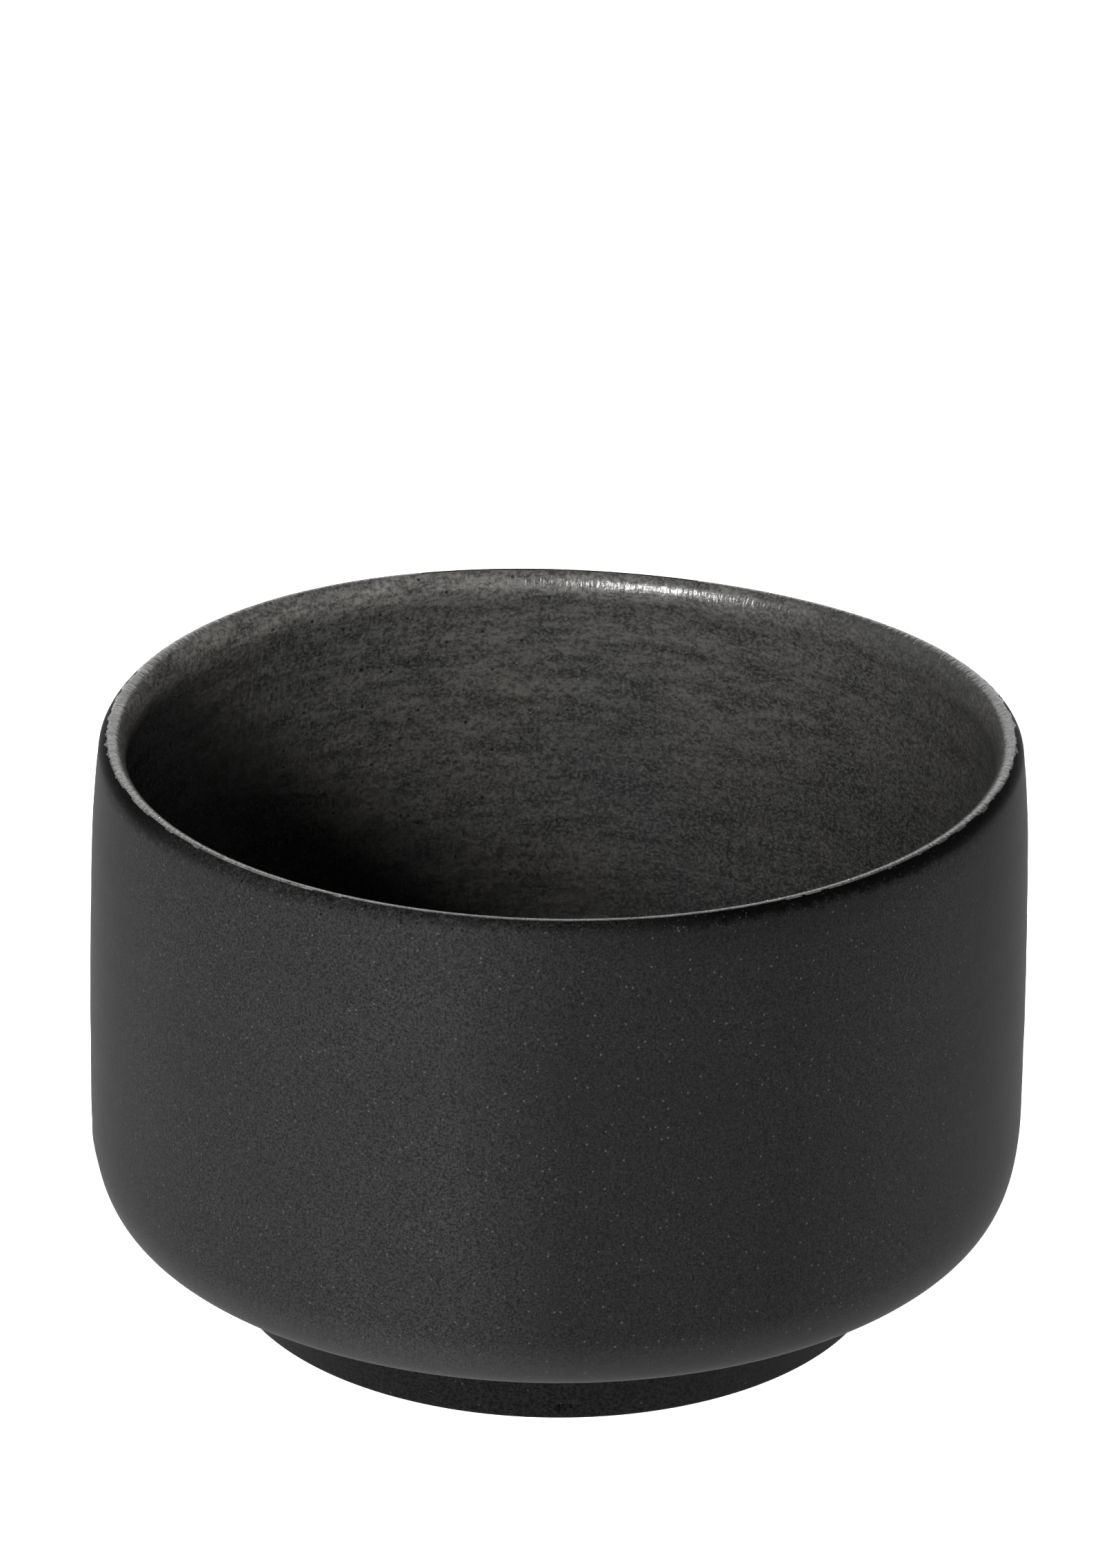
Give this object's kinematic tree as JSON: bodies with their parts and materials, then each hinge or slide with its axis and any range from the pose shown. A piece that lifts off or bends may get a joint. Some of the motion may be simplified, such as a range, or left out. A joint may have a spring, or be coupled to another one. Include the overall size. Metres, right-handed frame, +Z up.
{
  "type": "candle vessel",
  "caption": "Wide, low stoneware candle vessel with a nearly straight wall and a rounded rim, glazed inside and matte outside, on an undercut foot ring.",
  "frame": {"origin": "centre of the circle that the foot ring stands on", "axes": "+Z up, along the axis that the vessel is turned about; X and Y are any two level directions square to each other"},
  "size_m": [0.11, 0.11, 0.069],
  "materials": {
    "clay": "matte",
    "foot_clay": "matte",
    "matte_coat": "matte",
    "liner": "satin"
  },
  "bodies": {
    "root": {"stoneware_body": "clay", "foot_ring": "foot_clay", "outer_coat": "matte_coat", "liner_glaze": "liner"}
  },
  "joints": []
}
